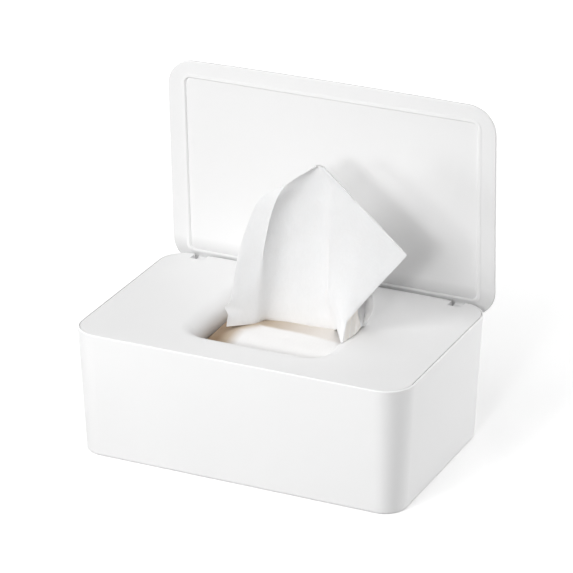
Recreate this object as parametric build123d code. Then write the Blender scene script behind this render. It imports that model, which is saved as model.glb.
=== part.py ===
from build123d import *
from math import cos, radians, sin, tan
import os

# A free-standing box for a stack of folded wipes, shown open. Its three mouldings are a drafted tub,
# a top cover with a funnel-lipped outlet that drops into the tub's rim, and a flat lid that swings on
# two arms at the cover's rear. All sizes are in millimetres. The origin is the centre of the tub's
# base, on the surface that the box stands on, with +X along the box, +Y to the rear and +Z up.

# Overall size, measured at the rim
LENGTH = 190.0
DEPTH = 121.0
TUB_HEIGHT = 70.6
PLAN_RADIUS = 15.5
DRAFT_ANGLE = 2.7

# Tub
WALL = 2.2
FLOOR = 2.0
BASE_EDGE = 1.0
FLOOR_BEVEL = 2.5
RIM_LIP = 0.9
RIM_EDGE = 0.4

# Top cover, which drops into a rebate inside the rim, with its skirt and snap beads
COVER_THICK = 1.8
COVER_SEAM = 0.3
SKIRT_DEPTH = 7.0
SKIRT_THICK = 1.4
SKIRT_GAP = 0.35
BEAD_REACH = 0.3
BEAD_HEIGHT = 1.8
BEAD_LENGTH = 24.0
BEAD_SPREAD = 52.0
GROOVE_GAP = 0.35
RIB_THICK = 1.0
RIB_HEIGHT = 3.5
RIB_SPREAD = 40.0

# Outlet: the throat's size, its rolled lip and how far its wall hangs below the cover's face
THROAT_LENGTH = 71.0
THROAT_DEPTH = 65.0
THROAT_RADIUS = 8.0
THROAT_DROP = 11.0
LIP_ROLL = 9.0
LIP_WALL = 1.8

# Hinge: two arms under the lid turn on pins that cross pockets at the cover's rear
HINGE_INSET = 19.0
HINGE_SETBACK = 3.0
HINGE_DROP = 6.0
OPEN_ANGLE = 87.4
PIN_RADIUS = 1.1
PIN_RUN = 0.05
KNUCKLE_RADIUS = 2.8
ARM_WIDTH = 6.8
ARM_GAP = 0.6
ARM_FLARE = 0.8
HEEL_LENGTH = 3.4
STOP_GAP = 0.1
POCKET_DEPTH = 7.1
POCKET_WALL = 1.6
HOUSING_SHY = 0.7

# Lid
LID_THICK = 2.4
LID_RADIUS = 15.7
LID_BOW = 1.0
LID_GAP = 0.3
LID_EDGE = 1.1
LID_INNER_EDGE = 0.35
BORDER_SIDE = 8.3
BORDER_END = 7.4
RECESS_DEPTH = 0.8
RECESS_RADIUS = 5.5
RELIEF_DEPTH = 0.7
RELIEF_FRONT = 3.2

# Seal strip, which lines the lid's recess and stands a little proud of the border
SEAL_WIDTH = 2.3
SEAL_PROUD = 0.2
SEAL_EDGE = 0.7

# Wipes: the folded stack, the next wipe that bulges into the outlet, and the drawn wipe. The next
# wipe's shares give its height along its length, then its profile in front of and behind its crest.
STACK_END_GAP = 5.6
STACK_SIDE_GAP = 5.1
STACK_HEADROOM = 2.6
STACK_RADIUS = 5.0
STACK_EDGE = 2.0
NEXT_LEFT_GAP = 8.5
NEXT_RIGHT_GAP = 1.5
NEXT_TUCK = 3.5
NEXT_CREST_AHEAD = 3.0
NEXT_REAR = 4.5
NEXT_HEIGHT = 8.0
NEXT_SHARES = (0.2, 0.75, 1.0, 1.0, 0.75, 0.2)
NEXT_SWELL = ((1.0, 0.0), (0.75, 0.42), (0.5, 0.74), (0.25, 0.93), (0.0, 1.0))
NEXT_DROP = ((0.4, 0.9), (0.8, 0.55), (1.0, 0.0))
WIPE_GAP = 0.3
WIPE_RISE = 103.5

# The drawn wipe's outline at rising shares of its height, in shares of half the throat's length and
# depth: left end, left crease, the panel behind that crease, right crease, the right flap's edge, and
# the right and left rear folds.
WIPE_FOLDS = {
    0.0: ((-0.85, 0.22), (-0.51, 0.22), (-0.45, 0.28), (0.73, 0.28), (0.9, 0.25), (0.87, 0.62), (-0.79, 0.62)),
    0.09: ((-0.72, -0.37), (-0.38, 0.02), (-0.34, 0.17), (0.77, 0.28), (0.96, 0.12), (0.96, 0.62), (-0.68, 0.55)),
    0.13: ((-0.7, -0.35), (-0.37, 0), (-0.32, 0.2), (0.77, 0.22), (1.12, -0.35), (1.07, 0.49), (-0.68, 0.55)),
    0.625: ((-0.52, -0.03), (-0.2, -0.05), (-0.08, 0.34), (0.79, 0), (2.06, -0.18), (0.87, 0.31), (-0.39, 0.43)),
    0.91: ((0.06, 0.06), (0.14, 0.03), (0.28, 0.18), (0.77, 0), (0.83, -0.02), (0.79, 0.15), (0.17, 0.25)),
    1.0: ((0.54, 0), (0.57, -0.02), (0.61, 0.02), (0.65, -0.02), (0.67, 0.01), (0.65, 0.07), (0.56, 0.08)),
}

# Heights and places that follow from those sizes
PLATE_UNDERSIDE = TUB_HEIGHT - COVER_THICK
THROAT_BOTTOM = TUB_HEIGHT - THROAT_DROP
HINGE_Y = DEPTH / 2 - HINGE_SETBACK
HINGE_Z = TUB_HEIGHT - HINGE_DROP
LID_UNDERSIDE = TUB_HEIGHT + LID_GAP
POCKET_FLOOR = HINGE_Z - KNUCKLE_RADIUS - STOP_GAP
POCKET_WIDTH = ARM_WIDTH + 2 * ARM_GAP
POCKET_FRONT = DEPTH / 2 - POCKET_DEPTH
HOUSING_WIDTH = POCKET_WIDTH + 2 * POCKET_WALL
HOUSING_BOTTOM = POCKET_FLOOR - POCKET_WALL
HOUSING_REAR = DEPTH / 2 - HOUSING_SHY
RECESS_LENGTH = LENGTH - 2 * BORDER_SIDE
RECESS_SPAN = DEPTH - 2 * BORDER_END
NARROWING = (TUB_HEIGHT - FLOOR) * tan(radians(DRAFT_ANGLE))
STACK_LENGTH = LENGTH - 2 * (WALL + NARROWING + STACK_END_GAP)
STACK_DEPTH = DEPTH - 2 * (WALL + NARROWING + STACK_SIDE_GAP)
STACK_TOP = THROAT_BOTTOM - STACK_HEADROOM
NEXT_LEFT = NEXT_LEFT_GAP - THROAT_LENGTH / 2
NEXT_RIGHT = THROAT_LENGTH / 2 - NEXT_RIGHT_GAP
NEXT_FRONT = -THROAT_DEPTH / 2 - NEXT_TUCK
NEXT_CREST = -NEXT_CREST_AHEAD
HINGES = {"left": HINGE_INSET - LENGTH / 2, "right": LENGTH / 2 - HINGE_INSET}
FUZZ = 1e-3
BEADS = [(x, side) for x in (-BEAD_SPREAD / 2, BEAD_SPREAD / 2) for side in (-1, 1)]


def block(x0, x1, y0, y1, z0, z1):
    """A box from its six limits."""
    return Pos((x0 + x1) / 2, (y0 + y1) / 2, (z0 + z1) / 2) * Box(x1 - x0, y1 - y0, z1 - z0)


def drafted(inset, top, bottom):
    """A rounded block, inset from the tub's outline at the rim, that narrows downwards by the draft."""
    plan = RectangleRounded(LENGTH - 2 * inset, DEPTH - 2 * inset, PLAN_RADIUS - inset)
    tool = extrude(Pos(0, 0, TUB_HEIGHT) * plan, amount=TUB_HEIGHT - bottom, dir=(0, 0, -1), taper=DRAFT_ANGLE)
    if top < TUB_HEIGHT:
        tool -= block(-LENGTH, LENGTH, -DEPTH, DEPTH, top, TUB_HEIGHT + WALL)
    return tool


def slab(length, depth, radius, bottom, top):
    """A rounded block with upright walls."""
    plan = RectangleRounded(length, depth, radius)
    return extrude(Pos(0, 0, bottom) * plan, amount=top - bottom)


def level_edges(solid, height, length=2 * LENGTH, depth=2 * DEPTH):
    """The edges of a solid in one level plane whose middles lie within a length and a depth."""
    level = [e for e in solid.edges() if e.bounding_box().size.Z < FUZZ]
    level = [e for e in level if abs(e.center().Z - height) < FUZZ]
    level = [e for e in level if abs(e.center().X) < length / 2 + FUZZ]
    return [e for e in level if abs(e.center().Y) < depth / 2 + FUZZ]


def bead(x, side, wall_inset, reach, height, length):
    """A half-round bead along a front or rear wall, with its crest a reach outside the wall's face."""
    radius = (reach ** 2 + (height / 2) ** 2) / (2 * reach)
    middle = PLATE_UNDERSIDE - SKIRT_DEPTH * 0.6
    face = DEPTH / 2 - wall_inset - (TUB_HEIGHT - middle) * tan(radians(DRAFT_ANGLE))
    return Pos(x, side * (face + reach - radius), middle) * Rot(0, 90, 0) * Cylinder(radius, length)


def make_tub():
    """Drafted tub, with the rebate for the cover, the snap grooves and the two rear hinge notches."""
    tub = drafted(0, TUB_HEIGHT, 0)
    tub = fillet(level_edges(tub, 0), BASE_EDGE)
    tub = chamfer(level_edges(tub, TUB_HEIGHT), RIM_EDGE)
    cavity = drafted(WALL, TUB_HEIGHT, FLOOR)
    tub -= chamfer(level_edges(cavity, FLOOR), FLOOR_BEVEL)
    rebate = (LENGTH - 2 * RIM_LIP, DEPTH - 2 * RIM_LIP, PLAN_RADIUS - RIM_LIP)
    tub -= slab(*rebate, PLATE_UNDERSIDE, TUB_HEIGHT)
    for x in HINGES.values():
        half = HOUSING_WIDTH / 2 + COVER_SEAM
        tub -= block(x - half, x + half, DEPTH / 2 - 2 * WALL, DEPTH, HOUSING_BOTTOM - COVER_SEAM, DEPTH)
    for x, side in BEADS:
        tub -= bead(x, side, WALL, BEAD_REACH + GROOVE_GAP, BEAD_HEIGHT + 2 * GROOVE_GAP,
                    BEAD_LENGTH + 2 * GROOVE_GAP)
    return tub


def make_cover():
    """Cover plate with the funnel-lipped outlet, skirt, ribs, snap beads and two hinge housings."""
    edge = RIM_LIP + COVER_SEAM
    plate = slab(LENGTH - 2 * edge, DEPTH - 2 * edge, PLAN_RADIUS - edge, PLATE_UNDERSIDE, TUB_HEIGHT)
    boss_size = (THROAT_LENGTH + 2 * LIP_WALL, THROAT_DEPTH + 2 * LIP_WALL, THROAT_RADIUS + LIP_WALL)
    cover = plate + slab(*boss_size, THROAT_BOTTOM, PLATE_UNDERSIDE)
    cover = fillet(level_edges(cover, PLATE_UNDERSIDE, *boss_size[:2]), LIP_ROLL - LIP_WALL)
    cover -= slab(THROAT_LENGTH, THROAT_DEPTH, THROAT_RADIUS, THROAT_BOTTOM, TUB_HEIGHT)
    cover = fillet(level_edges(cover, TUB_HEIGHT, THROAT_LENGTH, THROAT_DEPTH), LIP_ROLL)

    outer = SKIRT_GAP + WALL
    inner = outer + SKIRT_THICK
    skirt_end = PLATE_UNDERSIDE - SKIRT_DEPTH
    skirt = drafted(outer, PLATE_UNDERSIDE, skirt_end) - drafted(inner, PLATE_UNDERSIDE, skirt_end)
    for x, side in BEADS:
        skirt += bead(x, side, outer, BEAD_REACH, BEAD_HEIGHT, BEAD_LENGTH)
    cover += skirt

    rib_foot = PLATE_UNDERSIDE - RIB_HEIGHT
    reach_x = LENGTH / 2 - outer - SKIRT_THICK / 2
    reach_y = DEPTH / 2 - outer - SKIRT_THICK / 2
    for side in (-1, 1):
        middle = side * RIB_SPREAD / 2
        near, far = middle - RIB_THICK / 2, middle + RIB_THICK / 2
        start_x, start_y = THROAT_LENGTH / 2 + LIP_ROLL * 0.8, THROAT_DEPTH / 2 + LIP_ROLL * 0.8
        for way in (-1, 1):
            x0, x1 = sorted((way * start_x, way * reach_x))
            y0, y1 = sorted((way * start_y, way * reach_y))
            cover += block(x0, x1, near, far, rib_foot, PLATE_UNDERSIDE)
            cover += block(near, far, y0, y1, rib_foot, PLATE_UNDERSIDE)

    for x in HINGES.values():
        half, open_half, front = HOUSING_WIDTH / 2, POCKET_WIDTH / 2, POCKET_FRONT - POCKET_WALL
        cover += block(x - half, x + half, front, HOUSING_REAR, HOUSING_BOTTOM, TUB_HEIGHT)
        cover -= block(x - open_half, x + open_half, POCKET_FRONT, DEPTH, POCKET_FLOOR, DEPTH)
        cover -= Pos(x, HINGE_Y, HINGE_Z) * Rot(0, 90, 0) * Cylinder(PIN_RADIUS, HOUSING_WIDTH)
    return cover


def opened(solid):
    """Turns a piece of the closed lid about the hinge to where the lid rests open."""
    return Pos(0, HINGE_Y, HINGE_Z) * Rot(-OPEN_ANGLE, 0, 0) * Pos(0, -HINGE_Y, -HINGE_Z) * solid


def make_lid():
    """Lid, drawn closed: bowed at its free edge, recessed inside, with a hinge arm at each side."""
    x, y = LENGTH / 2, DEPTH / 2
    rim = [Line((-x, y), (x, y)), Line((x, y), (x, -y)),
           ThreePointArc((x, -y), (0, -y - LID_BOW), (-x, -y)), Line((-x, -y), (-x, y))]
    plan = make_face(rim)
    plan = fillet(plan.vertices(), LID_RADIUS)
    lid = extrude(Pos(0, 0, LID_UNDERSIDE) * plan, amount=LID_THICK)
    lid = fillet(level_edges(lid, LID_UNDERSIDE + LID_THICK), LID_EDGE)
    lid = chamfer(level_edges(lid, LID_UNDERSIDE), LID_INNER_EDGE)
    lid -= slab(RECESS_LENGTH, RECESS_SPAN, RECESS_RADIUS, LID_UNDERSIDE, LID_UNDERSIDE + RECESS_DEPTH)
    lid -= block(-LENGTH, LENGTH, HINGE_Y - RELIEF_FRONT, DEPTH, 0, LID_UNDERSIDE + RELIEF_DEPTH)

    lean = radians(90 - OPEN_ANGLE)
    heel = (KNUCKLE_RADIUS * cos(lean), -KNUCKLE_RADIUS * sin(lean))
    heel_end = (heel[0] + HEEL_LENGTH * sin(lean), heel[1] + HEEL_LENGTH * cos(lean))
    under = HINGE_DROP + LID_GAP
    root = under + (RELIEF_DEPTH + LID_THICK) / 2
    front = -KNUCKLE_RADIUS
    neck = [heel, heel_end, (heel_end[0], root), (front - ARM_FLARE, root), (front - ARM_FLARE, under),
            (front, under - 2 * ARM_FLARE), (front, 0)]
    profile = make_face(Polyline(*neck, close=True)) + Circle(KNUCKLE_RADIUS)
    profile -= Circle(PIN_RADIUS + PIN_RUN)
    for middle in HINGES.values():
        side_on = Plane(origin=(middle - ARM_WIDTH / 2, HINGE_Y, HINGE_Z), x_dir=(0, 1, 0), z_dir=(1, 0, 0))
        lid += extrude(side_on * profile, amount=ARM_WIDTH)
    return lid


def make_seal():
    """Seal strip, drawn closed: it fills the edge of the lid's recess, with a bevelled inner side."""
    low, high = LID_UNDERSIDE - SEAL_PROUD, LID_UNDERSIDE + RECESS_DEPTH
    seal = slab(RECESS_LENGTH, RECESS_SPAN, RECESS_RADIUS, low, high)
    hole = (RECESS_LENGTH - 2 * SEAL_WIDTH, RECESS_SPAN - 2 * SEAL_WIDTH, RECESS_RADIUS - SEAL_WIDTH)
    seal -= slab(*hole, low, high)
    return chamfer(level_edges(seal, low, *hole[:2]), SEAL_EDGE)


def make_pin(x):
    """A plain hinge pin, pressed into both walls of its housing."""
    return Pos(x, HINGE_Y, HINGE_Z) * Rot(0, 90, 0) * Cylinder(PIN_RADIUS, HOUSING_WIDTH)


def make_stack():
    """The stack of folded wipes on the tub's floor."""
    stack = slab(STACK_LENGTH, STACK_DEPTH, STACK_RADIUS, FLOOR, STACK_TOP)
    return chamfer(level_edges(stack, STACK_TOP), STACK_EDGE)


def creased(rings):
    """A closed solid through rings of points, with flat facets that crease along their shorter diagonal."""
    rings = [[Vector(*point) for point in ring] for ring in rings]
    patches = [rings[0], rings[-1]]
    for low, high in zip(rings, rings[1:]):
        for i in range(len(low)):
            a, b, c, d = low[i - 1], low[i], high[i], high[i - 1]
            if (c - a).length < (d - b).length:
                patches += [(a, b, c), (a, c, d)]
            else:
                patches += [(a, b, d), (b, c, d)]
    return Solid(Shell([Face(Wire.make_polygon(patch)) for patch in patches]))


def make_next_wipe():
    """The top fold of the stack, pulled up into a mound under the outlet."""
    rings = []
    for i, share in enumerate(NEXT_SHARES):
        x = NEXT_LEFT + (NEXT_RIGHT - NEXT_LEFT) * i / (len(NEXT_SHARES) - 1)
        rise = NEXT_HEIGHT * share
        front = [(x, NEXT_CREST + (NEXT_FRONT - NEXT_CREST) * y, STACK_TOP + rise * z) for y, z in NEXT_SWELL]
        rear = [(x, NEXT_CREST + (NEXT_REAR - NEXT_CREST) * y, STACK_TOP + rise * z) for y, z in NEXT_DROP]
        rings.append(front + rear)
    return creased(rings)


def make_drawn_wipe():
    """The wipe that stands drawn through the outlet: a left panel, a hollow front and a right flap."""
    half_length, half_depth, foot = THROAT_LENGTH / 2, THROAT_DEPTH / 2, STACK_TOP + WIPE_GAP
    rings = []
    for height, outline in WIPE_FOLDS.items():
        rings.append([(x * half_length, y * half_depth, foot + height * WIPE_RISE) for x, y in outline])
    return creased(rings)


PIECES = {
    "tub": make_tub(),
    "top_cover": make_cover(),
    "lid": opened(make_lid()),
    "lid_seal": opened(make_seal()),
    "wipe_stack": make_stack(),
    "next_wipe": make_next_wipe(),
    "drawn_wipe": make_drawn_wipe(),
}
for name, place in HINGES.items():
    PIECES["hinge_pin_" + name] = make_pin(place)

os.makedirs("parts", exist_ok=True)
for name, piece in PIECES.items():
    piece.label = name
    export_step(piece, "parts/" + name + ".step")
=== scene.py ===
import bpy
import math
import numpy as np
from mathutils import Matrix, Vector, noise


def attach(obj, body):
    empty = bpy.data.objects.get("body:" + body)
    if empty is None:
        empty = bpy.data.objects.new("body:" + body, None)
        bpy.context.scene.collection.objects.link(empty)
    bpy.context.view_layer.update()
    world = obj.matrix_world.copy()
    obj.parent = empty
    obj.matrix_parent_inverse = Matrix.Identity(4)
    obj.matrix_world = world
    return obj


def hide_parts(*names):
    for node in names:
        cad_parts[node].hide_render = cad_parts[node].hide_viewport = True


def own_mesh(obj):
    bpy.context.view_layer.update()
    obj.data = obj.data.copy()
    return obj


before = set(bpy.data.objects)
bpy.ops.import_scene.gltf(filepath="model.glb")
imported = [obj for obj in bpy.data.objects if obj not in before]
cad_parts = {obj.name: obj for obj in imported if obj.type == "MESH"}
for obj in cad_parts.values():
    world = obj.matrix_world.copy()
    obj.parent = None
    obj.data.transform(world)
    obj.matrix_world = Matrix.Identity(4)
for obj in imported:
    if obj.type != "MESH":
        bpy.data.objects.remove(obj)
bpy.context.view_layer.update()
bpy.ops.object.select_all(action="DESELECT")


# The camera of a product photograph: a long lens, a little to the right of the box's front and a
# little above it, aimed at the middle of the open lid and box together.
def out_from_the_box(turned, raised):
    """The way out from the box, turned to the right of its front and raised, both in degrees."""
    turned, raised = math.radians(turned), math.radians(raised)
    return Vector((
        math.sin(turned) * math.cos(raised),
        -math.cos(turned) * math.cos(raised),
        math.sin(raised),
    ))


camera_away = 1.7955
aim = Vector((0.00293, -0.00004, 0.08976))
backwards = out_from_the_box(24.86, 23.5)
bpy.ops.object.camera_add(location=aim + backwards * camera_away)
camera = bpy.context.object
camera.rotation_mode = "QUATERNION"
camera.rotation_quaternion = (-backwards).to_track_quat("-Z", "Y")
camera.data.sensor_width = 36
camera.data.lens = 215.89
camera.data.clip_start, camera.data.clip_end = 0.05, 30
bpy.context.scene.camera = camera
bpy.context.scene.view_settings.view_transform = "Standard"


# The tub is one moulding in white plastic, drafted, with a finely spark-eroded matt surface.
# It stands on its flat base and carries the wipes inside.
def give_finish(mat, grain, smooth, rough, strength, distance, raised=None):
    """Vary the roughness with this grain, from smooth to rough, and let it stand up from the
    surface, or another pattern where one is given as raised."""
    nodes, links = mat.node_tree.nodes, mat.node_tree.links
    shader = nodes["Principled BSDF"]
    gloss = nodes.new("ShaderNodeMapRange")
    gloss.inputs["To Min"].default_value = smooth
    gloss.inputs["To Max"].default_value = rough
    links.new(grain, gloss.inputs["Value"])
    links.new(gloss.outputs["Result"], shader.inputs["Roughness"])
    bump = nodes.new("ShaderNodeBump")
    bump.inputs["Strength"].default_value = strength
    bump.inputs["Distance"].default_value = distance
    links.new(raised or grain, bump.inputs["Height"])
    links.new(bump.outputs["Normal"], shader.inputs["Normal"])


def moulded_plastic(name, colour, grain=1.0):
    """Matt moulded plastic: a fine eroded grain, slow flow marks and a slightly uneven gloss."""
    mat = bpy.data.materials.new(name)
    mat.use_nodes = True
    nodes, links = mat.node_tree.nodes, mat.node_tree.links
    shader = nodes["Principled BSDF"]
    shader.inputs["IOR"].default_value = 1.49
    shader.inputs["Specular IOR Level"].default_value = 0.3
    place = nodes.new("ShaderNodeTexCoord")

    flow = nodes.new("ShaderNodeTexNoise")
    flow.inputs["Scale"].default_value = 14
    flow.inputs["Detail"].default_value = 3
    links.new(place.outputs["Object"], flow.inputs["Vector"])
    tint = nodes.new("ShaderNodeValToRGB")
    tint.color_ramp.elements[0].position = 0.3
    tint.color_ramp.elements[0].color = [c * 0.985 for c in colour] + [1]
    tint.color_ramp.elements[1].position = 0.7
    tint.color_ramp.elements[1].color = [*colour, 1]
    links.new(flow.outputs["Fac"], tint.inputs["Fac"])
    links.new(tint.outputs["Color"], shader.inputs["Base Color"])

    erosion = nodes.new("ShaderNodeTexNoise")
    erosion.inputs["Scale"].default_value = 1900
    erosion.inputs["Detail"].default_value = 2
    links.new(place.outputs["Object"], erosion.inputs["Vector"])
    give_finish(
        mat, erosion.outputs["Fac"], smooth=0.46, rough=0.58, strength=0.12 * grain, distance=0.0002
    )
    return mat


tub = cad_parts["tub"]
tub.material_slots[0].material = moulded_plastic("tub_plastic", (0.93, 0.93, 0.93))


# The wipes in the tub are interfolded: one nonwoven wipe leads the next through the outlet.
# They lie in a zigzag as deep as the tub, soft folds at front and rear, cut edges at the ends.
def nonwoven(name, colour, shade_colour, thin=0.0):
    """Soft matt spunlaced cloth: fine fibres and rows of small dimples. Its colour runs from the
    first to the shade colour by the painted shade each point is given, and thin cloth lets light
    through."""
    mat = bpy.data.materials.new(name)
    mat.use_nodes = True
    nodes, links = mat.node_tree.nodes, mat.node_tree.links
    shader = nodes["Principled BSDF"]
    shader.inputs["Specular IOR Level"].default_value = 0.2
    shader.inputs["Sheen Weight"].default_value = 0.12
    shader.inputs["Sheen Roughness"].default_value = 0.6
    shader.inputs["Subsurface Weight"].default_value = thin
    shader.inputs["Subsurface Radius"].default_value = (1.0, 0.9, 0.85)
    shader.inputs["Subsurface Scale"].default_value = 0.002
    laid = nodes.new("ShaderNodeUVMap")
    laid.uv_map = "laid_flat"

    fibres = nodes.new("ShaderNodeTexNoise")
    fibres.inputs["Scale"].default_value = 900
    fibres.inputs["Detail"].default_value = 4
    fibres.inputs["Distortion"].default_value = 1.2
    stretched = nodes.new("ShaderNodeMapping")
    stretched.inputs["Scale"].default_value = (1.0, 0.3, 1.0)
    links.new(laid.outputs["UV"], stretched.inputs["Vector"])
    links.new(stretched.outputs["Vector"], fibres.inputs["Vector"])
    dimples = nodes.new("ShaderNodeTexVoronoi")
    dimples.inputs["Scale"].default_value = 700
    dimples.inputs["Randomness"].default_value = 0.25
    links.new(laid.outputs["UV"], dimples.inputs["Vector"])
    cloth = nodes.new("ShaderNodeMath")
    cloth.operation = "MULTIPLY_ADD"
    cloth.inputs[1].default_value = 0.6
    links.new(dimples.outputs["Distance"], cloth.inputs[0])
    links.new(fibres.outputs["Fac"], cloth.inputs[2])
    give_finish(
        mat, fibres.outputs["Fac"], smooth=0.82, rough=0.95, strength=0.35, distance=0.0002,
        raised=cloth.outputs["Value"],
    )

    # Painted shade: the colour goes towards the shade colour where a point is given more of it.
    painted_shade = nodes.new("ShaderNodeAttribute")
    painted_shade.attribute_name = "painted_shade"
    tint = nodes.new("ShaderNodeValToRGB")
    tint.color_ramp.elements[0].color = [*colour, 1]
    tint.color_ramp.elements[1].color = [*shade_colour, 1]
    halfway = [math.sqrt(c * d) for c, d in zip(colour, shade_colour)]
    tint.color_ramp.elements.new(0.5).color = halfway + [1]
    links.new(painted_shade.outputs["Fac"], tint.inputs["Fac"])
    uneven = nodes.new("ShaderNodeMix")
    uneven.data_type = "RGBA"
    uneven.blend_type = "MULTIPLY"
    uneven.inputs["Factor"].default_value = 0.06
    links.new(tint.outputs["Color"], uneven.inputs["A"])
    links.new(fibres.outputs["Fac"], uneven.inputs["B"])
    links.new(uneven.outputs["Result"], shader.inputs["Base Color"])
    return mat


def cloth_from_grid(name, points, painted_shade, ring=False, thick=0.00045):
    """A thin cloth from rows of points in metres, each with how much shade is painted into its
    colour there, from 0 to 1. A ring joins each row's last point to its first."""
    rows, across = points.shape[:2]
    wide = np.linalg.norm(np.diff(points, axis=1), axis=2).mean(0)
    long = np.linalg.norm(np.diff(points, axis=0), axis=2).mean(1)
    u, v = np.append(0, wide.cumsum()), np.append(0, long.cumsum())
    last = across if ring else across - 1
    faces = []
    for row in range(0, (rows - 1) * across, across):
        for c in range(last):
            c_after, row_after = (c + 1) % across, row + across
            faces.append((row + c, row_after + c, row_after + c_after, row + c_after))
    mesh = bpy.data.meshes.new(name)
    mesh.from_pydata(points.reshape(-1, 3).tolist(), [], faces)
    uv = mesh.uv_layers.new(name="laid_flat")
    for face in mesh.polygons:
        for loop in face.loop_indices:
            r, c = divmod(mesh.loops[loop].vertex_index, across)
            uv.data[loop].uv = (u[c], v[r])
    stored = mesh.attributes.new("painted_shade", "FLOAT", "POINT")
    stored.data.foreach_set("value", np.clip(painted_shade, 0, 1).ravel())
    piece = bpy.data.objects.new(name, mesh)
    bpy.context.scene.collection.objects.link(piece)
    bpy.ops.object.select_all(action="DESELECT")
    piece.select_set(True)
    bpy.context.view_layer.objects.active = piece
    bpy.ops.object.modifier_add(type="SOLIDIFY")
    piece.modifiers["Solidify"].thickness = thick
    piece.modifiers["Solidify"].offset = 0
    bpy.ops.object.modifier_apply(modifier="Solidify")
    bpy.ops.object.shade_smooth_by_angle(angle=math.radians(50))
    return piece


layers, layer_thick = 36, 0.0009
stack_half_length, stack_half_depth = 0.0836, 0.0494
stack_floor, stack_top, stack_shaded = 0.0023, 0.0566, 0.03
points_across, points_along = 13, 22
bend_angles = np.radians((-60, -20, 20, 60))
step = (stack_top - stack_floor) / (layers - 1)
chance = np.random.default_rng(7)
run = []
for layer in range(layers):
    side = 1 if layer % 2 == 0 else -1
    reach = stack_half_depth - chance.uniform(0.0002, 0.0012)
    straight = reach - step / 2
    z = stack_floor + layer * step
    run += [(-side * y, z) for y in np.linspace(straight, -straight, points_across)]
    if layer < layers - 1:
        for a in bend_angles:
            bend_out, bend_up = math.cos(a) * step / 2, math.sin(a) * step / 2
            run.append((side * (straight + bend_out), z + step / 2 + bend_up))
stations = np.linspace(-stack_half_length, stack_half_length, points_along)
zigzag = np.zeros((len(run), len(stations), 3))
for r, (y, z) in enumerate(run):
    for c, x in enumerate(stations):
        share = (z - stack_floor) / (stack_top - stack_floor)
        sag = 0.0006 * share * (0.5 + noise.noise(Vector((x * 28, y * 30, z * 9))) * 0.5)
        uneven_end = 0.004 * abs(noise.noise(Vector((y * 9, z * 150, 3))))
        zigzag[r, c] = (x * (1 - uneven_end), y, z - sag)
# Shade is painted into the stack's colour, darker the further a layer lies below its top.
stack_painted_shade = (stack_top - zigzag[:, :, 2]) / stack_shaded
folded_wipes = cloth_from_grid("folded_wipes", zigzag, stack_painted_shade, thick=layer_thick)
folded_wipes.data.materials.append(
    nonwoven("folded_wipes_cloth", (0.9, 0.87, 0.82), (0.87, 0.84, 0.8))
)
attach(folded_wipes, "tub")
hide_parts("wipe_stack")


# The next wipe is the top one of the pack, pulled up into a loose mound as the wipe before it left.
# It bulges under the outlet's front lip, highest just in front of the wipe that is out, and its
# right end lies pressed against the rolled lip.
mound_rows, mound_columns = 64, 72
mound_left, mound_right, mound_front = -0.0351, 0.0353, -0.037
mound_base, mound_rise = 0.0574, 0.008
rear_y, rear_slants_from, rear_slant = 0.0175, 0.024, 0.3
crest_y, crest_bends_from, crest_bend = -0.0035, 0.012, 8
throat_corner_x, throat_corner_y, throat_corner_radius = 0.0275, -0.0245, 0.008
lip_radius, lip_rolls_from, off_the_lip = 0.009, 0.0616, 0.0003
pressed_from, pressed_over, loose_right = 0.9, 0.0855, 0.0343
pressed_front, pressed_front_over = -0.0315, 0.002
mound = np.zeros((mound_rows, mound_columns, 3))
mound_painted_shade = np.zeros((mound_rows, mound_columns))
for r, v in enumerate(np.linspace(0, 1, mound_rows)):
    for c, u in enumerate(np.linspace(0, 1, mound_columns)):
        x = mound_left + (mound_right - mound_left) * u
        mound_rear = rear_y - rear_slant * max(0, x - rear_slants_from)
        y = mound_front + (mound_rear - mound_front) * v
        crest = crest_y - crest_bend * max(0, x - crest_bends_from) ** 2
        back = max(0, (y - crest) / (mound_rear - crest))
        front = min(1, (y - mound_front) / (crest - mound_front))
        falls_behind = 1 + 0.05 * min(1, back * 3) - 1.05 * back**24
        swell = math.sin(math.pi / 2 * front) ** 0.6 * falls_behind
        ends = max(0, math.sin(math.pi / 2 * min(1, u / 0.32, (1 - u) / 0.015))) ** 0.35
        rumple = noise.noise(Vector((x * 60, y * 90, 2.5))) * 0.0007
        rumple += noise.noise(Vector((x * 170, y * 210, 8))) * 0.0002
        z = mound_base + (mound_rise + rumple) * max(0, swell) * ends

        # Towards its right end the mound is stretched out to the lip, which rolls away as it rises.
        rolled = lip_radius - math.sqrt(lip_radius**2 - max(0, z - lip_rolls_from) ** 2)
        round_corner = (throat_corner_radius + rolled) ** 2 - max(0, throat_corner_y - y) ** 2
        lip = throat_corner_x + math.sqrt(max(0, round_corner))
        pressed = min(1, max(0, (u - pressed_from) / pressed_over))
        pressed *= min(1, max(0, (y - pressed_front) / pressed_front_over))
        loose_x = min(x, loose_right) if u < 0.99 else x
        mound[r, c] = (x + pressed * (lip - off_the_lip - loose_x), y, z)

        # Shade is painted into its colour, in a dark brown, behind its crest, under the hem of the
        # wipe that is out, and at its left end. What that wipe hides gets less painted shade.
        hidden = 1 - 0.75 * min(1, max(0, (y - 0.0085) / 0.005))
        behind = min(1, back * 10) * (0.15 + 0.45 * ((mound_right - x) / 0.05) ** 1.6) * hidden
        off_hem = max(0, (x + 0.0257) * 0.72 - (y + 0.013) * 0.69)
        under_hem = 0.55 * math.exp(-((off_hem / 0.0045) ** 2)) * min(1, max(0, -0.007 - x) / 0.005)
        at_the_left = min(1, max(0, -0.0145 - x) / 0.0125) ** 1.1 * hidden
        mound_painted_shade[r, c] = max(behind, under_hem, at_the_left)
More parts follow.
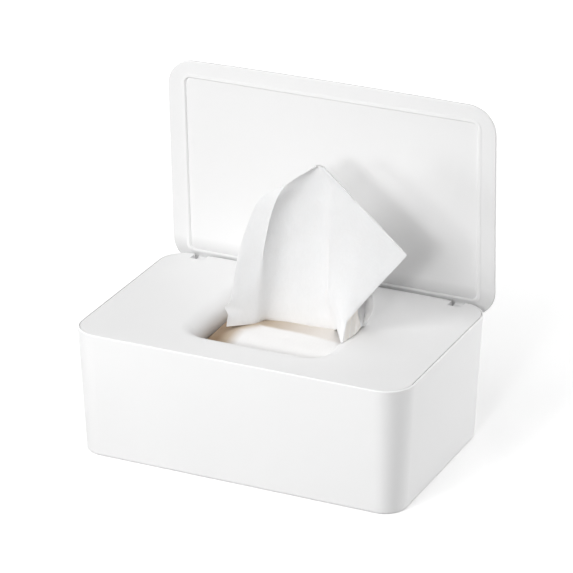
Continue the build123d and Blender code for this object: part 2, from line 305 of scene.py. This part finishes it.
next_wipe = cloth_from_grid("next_wipe_cloth", mound, mound_painted_shade)
next_wipe.data.materials.append(
    nonwoven("next_wipe_cloth", (0.86, 0.855, 0.85), (0.27, 0.18, 0.105))
)
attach(next_wipe, "tub")
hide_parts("next_wipe")


# The top cover drops inside the tub's rim and snaps there. It is moulded in the same white plastic,
# with the rolled outlet in its middle and a housing for each hinge pin at the rear. Its colour is
# that plastic's darkened with painted shade, and more shade is painted on its edges in the seams at
# both sides.
def paint_shade(mat, unshaded_share):
    """Paint shade into a piece's colour where this socket, 1 where none is painted, gives less."""
    nodes, links = mat.node_tree.nodes, mat.node_tree.links
    colour = nodes["Principled BSDF"].inputs["Base Color"]
    with_shade = nodes.new("ShaderNodeMix")
    with_shade.data_type = "RGBA"
    with_shade.blend_type = "MULTIPLY"
    with_shade.inputs["Factor"].default_value = 1
    links.new(colour.links[0].from_socket, with_shade.inputs["A"])
    links.new(unshaded_share, with_shade.inputs["B"])
    links.new(with_shade.outputs["Result"], colour)


plate_side = 0.09376
top_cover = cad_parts["top_cover"]
cover_plastic = moulded_plastic("top_cover_plastic", (0.845, 0.845, 0.845))
nodes, links = cover_plastic.node_tree.nodes, cover_plastic.node_tree.links
place = nodes.new("ShaderNodeTexCoord")
axes = nodes.new("ShaderNodeSeparateXYZ")
links.new(place.outputs["Object"], axes.inputs[0])
sideways = nodes.new("ShaderNodeMath")
sideways.operation = "ABSOLUTE"
links.new(axes.outputs["X"], sideways.inputs[0])
in_seam = nodes.new("ShaderNodeMath")
in_seam.operation = "GREATER_THAN"
in_seam.inputs[1].default_value = plate_side
links.new(sideways.outputs["Value"], in_seam.inputs[0])
unshaded_out_of_seam = nodes.new("ShaderNodeMapRange")
unshaded_out_of_seam.inputs["To Min"].default_value = 1
unshaded_out_of_seam.inputs["To Max"].default_value = 0.45
links.new(in_seam.outputs["Value"], unshaded_out_of_seam.inputs["Value"])
# Shade is painted into the plate's colour at its sides, in the seams.
paint_shade(cover_plastic, unshaded_out_of_seam.outputs["Result"])
top_cover.material_slots[0].material = cover_plastic


# Each hinge turns on a plain steel pin, cut from drawn wire and pressed through the housing.
# The drawing leaves fine lines along it.
pin_steel = bpy.data.materials.new("drawn_steel_wire")
pin_steel.use_nodes = True
nodes, links = pin_steel.node_tree.nodes, pin_steel.node_tree.links
shader = nodes["Principled BSDF"]
shader.inputs["Metallic"].default_value = 1
place = nodes.new("ShaderNodeTexCoord")
drawn_out = nodes.new("ShaderNodeMapping")
drawn_out.inputs["Scale"].default_value = (60, 6000, 6000)
links.new(place.outputs["Object"], drawn_out.inputs["Vector"])
scratches = nodes.new("ShaderNodeTexNoise")
scratches.inputs["Scale"].default_value = 1
scratches.inputs["Detail"].default_value = 3
links.new(drawn_out.outputs["Vector"], scratches.inputs["Vector"])
steel_tint = nodes.new("ShaderNodeValToRGB")
steel_tint.color_ramp.elements[0].color = (0.5, 0.5, 0.5, 1)
steel_tint.color_ramp.elements[1].color = (0.68, 0.68, 0.67, 1)
links.new(scratches.outputs["Fac"], steel_tint.inputs["Fac"])
links.new(steel_tint.outputs["Color"], shader.inputs["Base Color"])
give_finish(
    pin_steel, scratches.outputs["Fac"], smooth=0.25, rough=0.42, strength=0.15, distance=0.0001
)
for pin in ("hinge_pin_left", "hinge_pin_right"):
    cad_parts[pin].material_slots[0].material = pin_steel


# The lid is a flat moulding with a shallow recess inside and two arms that reach down to the pins.
# It has the box's plastic with a smoother grain, in a colour darkened with painted shade, and more
# shade is painted low down on its inner face by the hinge.
def paint_shade_by_the_hinge(mat, least, top):
    """Paint shade on the inner face and its recess, darkest at the hinge, up to this height."""
    hinge_height, inner_face, inner_face_within = 0.07, 0.06405, 0.00125
    nodes, links = mat.node_tree.nodes, mat.node_tree.links
    place = nodes.new("ShaderNodeTexCoord")
    axes = nodes.new("ShaderNodeSeparateXYZ")
    links.new(place.outputs["Object"], axes.inputs[0])
    height = nodes.new("ShaderNodeMapRange")
    height.inputs["From Min"].default_value = hinge_height
    height.inputs["From Max"].default_value = top
    height.inputs["To Min"].default_value = least
    links.new(axes.outputs["Z"], height.inputs["Value"])
    inside = nodes.new("ShaderNodeMath")
    inside.operation = "COMPARE"
    inside.inputs[1].default_value = inner_face
    inside.inputs[2].default_value = inner_face_within
    links.new(axes.outputs["Y"], inside.inputs[0])
    elsewhere = nodes.new("ShaderNodeMath")
    elsewhere.operation = "SUBTRACT"
    elsewhere.inputs[0].default_value = 1
    links.new(inside.outputs["Value"], elsewhere.inputs[1])
    unshaded = nodes.new("ShaderNodeMath")
    unshaded.operation = "MAXIMUM"
    links.new(height.outputs["Result"], unshaded.inputs[0])
    links.new(elsewhere.outputs["Value"], unshaded.inputs[1])
    paint_shade(mat, unshaded.outputs["Value"])


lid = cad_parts["lid"]
lid_plastic = moulded_plastic("lid_plastic", (0.835, 0.835, 0.835), grain=0.8)
paint_shade_by_the_hinge(lid_plastic, least=0.81, top=0.079)
lid.material_slots[0].material = lid_plastic


# A soft strip lines the edge of the lid's recess and closes on the rim, so the wipes don't dry out.
# It is white silicone rubber, pressed in place.
silicone = bpy.data.materials.new("soft_silicone")
silicone.use_nodes = True
nodes, links = silicone.node_tree.nodes, silicone.node_tree.links
shader = nodes["Principled BSDF"]
place = nodes.new("ShaderNodeTexCoord")
dust = nodes.new("ShaderNodeTexNoise")
dust.inputs["Scale"].default_value = 420
dust.inputs["Detail"].default_value = 4
links.new(place.outputs["Object"], dust.inputs["Vector"])
silicone_tint = nodes.new("ShaderNodeValToRGB")
silicone_tint.color_ramp.elements[0].color = (0.83, 0.83, 0.83, 1)
silicone_tint.color_ramp.elements[1].color = (0.85, 0.85, 0.85, 1)
links.new(dust.outputs["Fac"], silicone_tint.inputs["Fac"])
links.new(silicone_tint.outputs["Color"], shader.inputs["Base Color"])
give_finish(silicone, dust.outputs["Fac"], smooth=0.55, rough=0.7, strength=0.1, distance=0.0002)
# Shade is painted on the strip low down by the hinge, as on the lid.
paint_shade_by_the_hinge(silicone, least=0.72, top=0.0725)
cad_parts["lid_seal"].material_slots[0].material = silicone


# The wipe that is out stands up from the outlet as it was let go: pinched to a point at the top,
# folded sharply at the left and right of a hollow front panel, a loose corner out to each side.

# The lines that run down the cloth from its top, in millimetres, in turn from its left edge:
# how many strips lie between a line and the next, whether it is a sharp fold, and its points.
folds = {
    "left edge": (10, True, [
        (19.6, 0.4, 160.5), (5.8, 0.5, 148.6), (-11.2, -0.5, 137.4), (-18.8, -3, 119.5),
        (-22.5, -6, 103.4), (-24.2, -9, 85.9), (-25.7, -13, 66.7),
    ]),
    "left crease": (5, True, [
        (20.2, -0.8, 160.5), (3.3, -2.2, 147), (-3.9, -2.6, 132.5), (-8.6, -2.6, 111.8),
        (-10.7, -2.5, 95.6), (-12.7, -2.2, 80.9), (-13.9, -1.2, 65.9),
    ]),
    "behind the crease": (8, False, [
        (20.6, 0.4, 160.3), (8.5, 0.6, 147.5), (-0.5, 1.8, 134), (-4, 2.6, 114),
        (-6.6, 3, 98), (-8.9, 3.5, 82), (-11.8, 5, 65.9),
    ]),
    "panel, left": (8, False, [
        (21, 0.6, 160.2), (12, 2, 147.5), (5, 4.2, 136), (3, 5.6, 119.5),
        (1.5, 6, 102), (0.8, 6.3, 85), (0.5, 7.4, 65.7),
    ]),
    "panel, right": (7, False, [
        (21.6, 0.6, 160.2), (17, 2.4, 148), (14.5, 5, 136), (14.5, 6.6, 119.5),
        (14.5, 7, 102), (14.5, 7.2, 85), (14, 8.1, 65.6),
    ]),
    "beside the ridge": (5, False, [
        (22, 0.3, 160.2), (23, 1.6, 149), (24.4, 3, 135), (24.8, 4, 118),
        (24.8, 4.3, 102), (24.6, 5.6, 86), (26.3, 8.6, 65.7),
    ]),
    "right ridge": (9, True, [
        (22.8, -0.5, 160.4), (28, -0.6, 151.6), (28.1, -0.8, 134), (27.8, -0.9, 117),
        (27.6, -0.9, 102), (27.4, -1, 88.2), (32.3, -0.4, 71),
    ]),
    "middle of the right corner": (12, False, [
        (23.2, -0.5, 160.3), (36, -2, 149), (50, -4, 131), (46, -5, 112),
        (41, -6, 96), (38.5, -8, 84), (40, -13, 70.3),
    ]),
    "right corner's edge": (8, True, [
        (23.6, -0.2, 160.2), (48.4, -3.1, 141.2), (73.2, -6, 122.3), (58.9, -6, 104.2),
        (46.4, -6, 87.8), (41.2, -9, 80.6), (41, -13.2, 70.2),
    ]),
    "behind the right corner": (8, True, [
        (23.5, 0.5, 160), (46, -0.5, 141), (69, -1.5, 122.5), (55, -1, 105),
        (44.2, -1.5, 90), (41.8, -4, 80), (42, -8.5, 70.5),
    ]),
    "pleat": (8, True, [
        (23.4, 0.9, 160), (42, 2, 142), (58, 4, 124), (50, 4, 107),
        (43.6, 2, 92), (43, 0, 80), (43.2, -1.5, 70.8),
    ]),
    "second pleat": (4, True, [
        (23.3, 1.1, 160), (38, 4, 144), (48, 7, 128), (45, 8, 110),
        (42.2, 6, 94), (41.4, 4.6, 83), (42.4, 6.6, 71),
    ]),
    "inside the little flap": (4, True, [
        (23.2, 1.2, 160), (36, 5.5, 145), (44, 9.5, 129), (43, 11, 111),
        (43, 12, 97), (43.5, 13.5, 84), (42.4, 8.6, 71),
    ]),
    "little flap": (5, True, [
        (23.2, 1.3, 160), (34, 6, 146), (43, 10, 130), (43.5, 11, 112),
        (46, 9, 98), (50, 5.8, 84.5), (43.4, 8.9, 71.1),
    ]),
    "behind the little flap": (5, False, [
        (23, 1.5, 160), (30, 7, 147), (37, 12, 131), (38, 14, 113),
        (39, 14, 97), (40.5, 13, 84), (41.2, 12.5, 70.7),
    ]),
    "right rear": (4, False, [
        (22.8, 1.6, 160), (27, 7.5, 147), (32, 13, 131), (35, 15.5, 113),
        (36.5, 16.5, 97), (37.4, 16.5, 80), (36.9, 16.2, 68),
    ]),
    "into the throat": (12, False, [
        (22.4, 1.7, 160), (24, 7.8, 147), (28, 14, 131), (31, 16.5, 113),
        (33, 18, 97), (34, 19, 80), (34, 19.6, 60.5),
    ]),
    "rear": (12, False, [
        (21.5, 1.8, 160.1), (17, 8, 147), (14, 14, 131), (12, 17, 113),
        (10, 18.5, 97), (9, 19.5, 80), (8, 20.4, 58.6),
    ]),
    "left rear": (10, False, [
        (20.8, 1.6, 160.2), (10, 7, 147.5), (2, 12, 132), (-6, 15.5, 114),
        (-12, 17, 97), (-17, 18.5, 80), (-20, 19.6, 58.8),
    ]),
    "behind the left edge": (8, False, [
        (20.2, 1.2, 160.4), (5, 4.5, 147.5), (-6, 6, 138), (-13, 7, 121),
        (-18, 8, 103), (-21, 8, 85), (-24, 4, 66.6),
    ]),
}
cut_straight = ("right corner's edge", "behind the right corner")
ribbed_strips = ("right corner's edge", "behind the right corner", "pleat")
steps_down, easing_rounds = 15, 24


def down_the_cloth(points, straight):
    """The line through these points, rounded between them unless it is a straight cut edge."""
    p = np.array(points) / 1000
    ends = np.vstack([2 * p[0] - p[1], p, 2 * p[-1] - p[-2]])
    line = []
    for i in range(len(p) - 1):
        a, b, c, d = ends[i : i + 4]
        for t in np.arange(steps_down) / steps_down:
            curve, twist = 2 * a - 5 * b + 4 * c - d, 3 * b - a - 3 * c + d
            bent = 0.5 * (2 * b + (c - a) * t + curve * t**2 + twist * t**3)
            line.append(b + (c - b) * t if straight else bent)
    return np.array([*line, p[-1]])


lines = [down_the_cloth(points, name in cut_straight) for name, (_, _, points) in folds.items()]

# The left edge juts out in a small tip near its foot.
left_edge = lines[0]
tip_height, tip_half_height, tip_reach = 0.0765, 0.0022, 0.0024
from_tip = (left_edge[:, 2] - tip_height) / tip_half_height
left_edge[:, 0] -= tip_reach * np.exp(-(from_tip**2))

# Strips fill in between the lines. Everything but the sharp folds is then eased, as soft cloth
# hangs, and rumpled a little.
columns, held, ribbed = [], [], []
for i, (name, (strips, sharp, _)) in enumerate(folds.items()):
    after = lines[(i + 1) % len(lines)]
    for s in range(strips):
        columns.append(lines[i] + (after - lines[i]) * s / strips)
        held.append(sharp and s == 0)
        ribbed.append(name in ribbed_strips)
cloth = np.stack(columns, axis=1)
loose = ~np.array(held)
for _ in range(easing_rounds):
    beside = (np.roll(cloth, 1, axis=1) + np.roll(cloth, -1, axis=1)) / 2
    above = cloth.copy()
    above[1:-1] = (cloth[:-2] + cloth[2:]) / 2
    eased = cloth * 0.4 + beside * 0.45 + above * 0.15
    cloth[1:-1, loose] = eased[1:-1, loose]
down = np.gradient(cloth, axis=0)
around = (np.roll(cloth, -1, axis=1) - np.roll(cloth, 1, axis=1)) / 2
out = np.cross(around, down)
out /= np.linalg.norm(out, axis=2, keepdims=True) + 1e-12
for r in range(2, len(cloth) - 1):
    for c in np.nonzero(loose)[0]:
        p = Vector(cloth[r, c].tolist())
        rumple = noise.noise(p * 55 + Vector((3, 0, 0))) * 0.0007 + noise.noise(p * 150) * 0.00025
        cloth[r, c] += out[r, c] * rumple * min(1, r / 20)

# Shade is painted into its colour only at its hem, in the outlet. Near the outlet the pleats at its
# right are ribbed, with shade painted between the ribs.
hem_top = 0.067
drawn_painted_shade = np.clip((hem_top - cloth[:, :, 2]) / 0.004, 0, 1)
ribs_top, rib_height = 0.09, 0.0006
ribs = np.nonzero(ribbed)[0]
for n, c in enumerate(ribs[1:-1]):
    low = np.clip((ribs_top - cloth[:, c, 2]) / 0.008, 0, 1)
    wave = math.cos(n * math.pi) * 0.5 + 0.5
    cloth[:, c] += out[:, c] * (rib_height * wave * low)[:, None]
    drawn_painted_shade[:, c] += 0.7 * (1 - wave) * low
drawn_wipe = cloth_from_grid("drawn_wipe_cloth", cloth, drawn_painted_shade, ring=True)
drawn_wipe.data.materials.append(
    nonwoven("drawn_wipe_cloth", (0.865, 0.86, 0.86), (0.88, 0.81, 0.72), thin=0.3)
)
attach(drawn_wipe, "drawn_wipe")
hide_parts("drawn_wipe")
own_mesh(drawn_wipe)


# A wide sheet of white matt paper lies under the box and runs out of sight behind it. The camera
# and mirror-like rays see it as full white; what it gives back to the object is a softer grey.
def seen_by(nodes, links, *rays):
    """1 to any of these kinds of ray and 0 to the others."""
    path = nodes.new("ShaderNodeLightPath")
    seen = path.outputs[rays[0]]
    for ray in rays[1:]:
        either = nodes.new("ShaderNodeMath")
        either.operation = "MAXIMUM"
        links.new(seen, either.inputs[0])
        links.new(path.outputs[ray], either.inputs[1])
        seen = either.outputs["Value"]
    return seen


bpy.ops.mesh.primitive_plane_add(size=8, location=(0, 0, -0.0001))
sweep = bpy.context.object
sweep.name = "studio_sweep"
white = bpy.data.materials.new("studio_paper")
white.use_nodes = True
nodes, links = white.node_tree.nodes, white.node_tree.links
shader = nodes["Principled BSDF"]
shader.inputs["Roughness"].default_value = 1
shader.inputs["Specular IOR Level"].default_value = 0
direct = seen_by(nodes, links, "Is Camera Ray", "Is Glossy Ray")
paper = nodes.new("ShaderNodeMix")
paper.data_type = "RGBA"
paper.inputs["A"].default_value = (0.35, 0.35, 0.35, 1)
paper.inputs["B"].default_value = (0.95, 0.95, 0.95, 1)
links.new(direct, paper.inputs["Factor"])
links.new(paper.outputs["Result"], shader.inputs["Base Color"])
place = nodes.new("ShaderNodeTexCoord")
far_off = nodes.new("ShaderNodeVectorMath")
far_off.operation = "LENGTH"
links.new(place.outputs["Object"], far_off.inputs[0])
lift = nodes.new("ShaderNodeMapRange")
lift.inputs["From Min"].default_value = 0.12
lift.inputs["From Max"].default_value = 0.9
lift.inputs["To Min"].default_value = 0.24
lift.inputs["To Max"].default_value = 1.0
links.new(far_off.outputs["Value"], lift.inputs["Value"])
glow = nodes.new("ShaderNodeMath")
glow.operation = "MULTIPLY"
links.new(lift.outputs["Result"], glow.inputs[1])
links.new(direct, glow.inputs[0])
shader.inputs["Emission Color"].default_value = (1, 1, 1, 1)
links.new(glow.outputs["Value"], shader.inputs["Emission Strength"])
sweep.data.materials.append(white)


# The room is a dim white that shows as full white; a large softbox hangs over the box and two stand
# before it on the left. Two small lamps in front throw the wipe's shadow on the lid, and three
# cards light the box's sides and back.
room = bpy.data.worlds.new("white_room")
bpy.context.scene.world = room
room.use_nodes = True
nodes, links = room.node_tree.nodes, room.node_tree.links
air = nodes["Background"]
white_to = seen_by(nodes, links, "Is Camera Ray", "Is Transmission Ray", "Is Glossy Ray")
level = nodes.new("ShaderNodeMapRange")
level.inputs["To Min"].default_value = 0.2
level.inputs["To Max"].default_value = 1.0
links.new(white_to, level.inputs["Value"])
links.new(level.outputs["Result"], air.inputs["Strength"])
air.inputs["Color"].default_value = (1, 1, 1, 1)
for name, turned, raised, away, wide, tall, watts in (
    ("top_softbox", 0, 85, 0.9, 0.6, 0.6, 2.28),
    ("front_softbox", -20, 38, 1.0, 0.34, 0.34, 3.7),
    ("left_softbox", -40, 12, 1.0, 0.35, 0.2, 1.8),
    ("left_lamp", -8, 17.5, 1.3, 0.25, 0.08, 1.6),
    ("right_lamp", 10, 20.5, 1.3, 0.18, 0.08, 3.6),
    ("side_card", 122, 2, 0.9, 0.5, 0.2, 4.4),
    ("left_card", -120, 3, 0.9, 0.5, 0.2, 1.8),
    ("rear_card", 180, 8, 1.0, 0.6, 0.3, 2.6),
):
    towards = out_from_the_box(turned, raised)
    bpy.ops.object.light_add(type="AREA", location=towards * away + Vector((0, 0, 0.08)))
    lamp = bpy.context.object
    lamp.name = name
    lamp.rotation_euler = (-towards).to_track_quat("-Z", "Y").to_euler()
    lamp.data.shape = "RECTANGLE"
    lamp.data.size, lamp.data.size_y = wide, tall
    lamp.data.energy = watts
